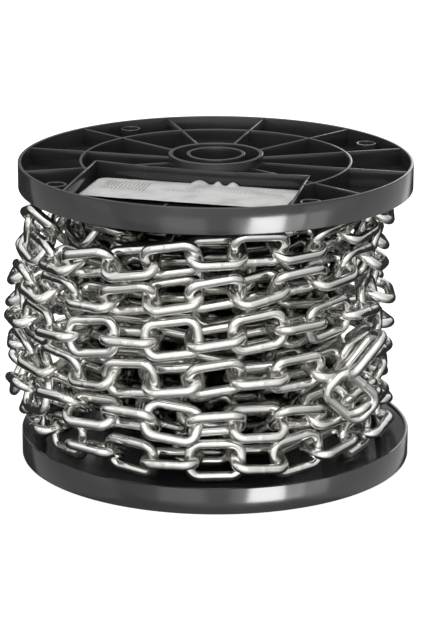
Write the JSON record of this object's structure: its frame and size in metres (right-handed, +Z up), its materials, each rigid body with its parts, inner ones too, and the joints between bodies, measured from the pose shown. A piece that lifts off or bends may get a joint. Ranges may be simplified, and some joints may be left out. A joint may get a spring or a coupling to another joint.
{
  "type": "reel of steel chain",
  "caption": "Black plastic reel with ribbed flanges, wound in layers with bright welded steel link chain, standing on one flange, label pocket on top.",
  "frame": {"origin": "middle of the whole part's box on the floor; the reel's own axis stands 4.5 mm towards +X of it, because the load of chain bulges towards -X", "axes": "+Z up along the reel's axis, -Y the front, where the label pocket opens, +X to the right seen from the front"},
  "size_m": [0.209, 0.2024, 0.157],
  "materials": {
    "black_plastic": "satin",
    "bright_steel": "polished",
    "label_paper": "matte"
  },
  "bodies": {
    "root": {"top_flange": "black_plastic", "bottom_flange": "black_plastic", "barrel": "black_plastic", "label": "label_paper", "chain_core": "bright_steel", "chain_turn_1": "bright_steel", "chain_turn_2": "bright_steel", "chain_turn_3": "bright_steel", "chain_turn_4": "bright_steel", "chain_turn_5": "bright_steel", "chain_turn_6": "bright_steel"}
  },
  "joints": []
}
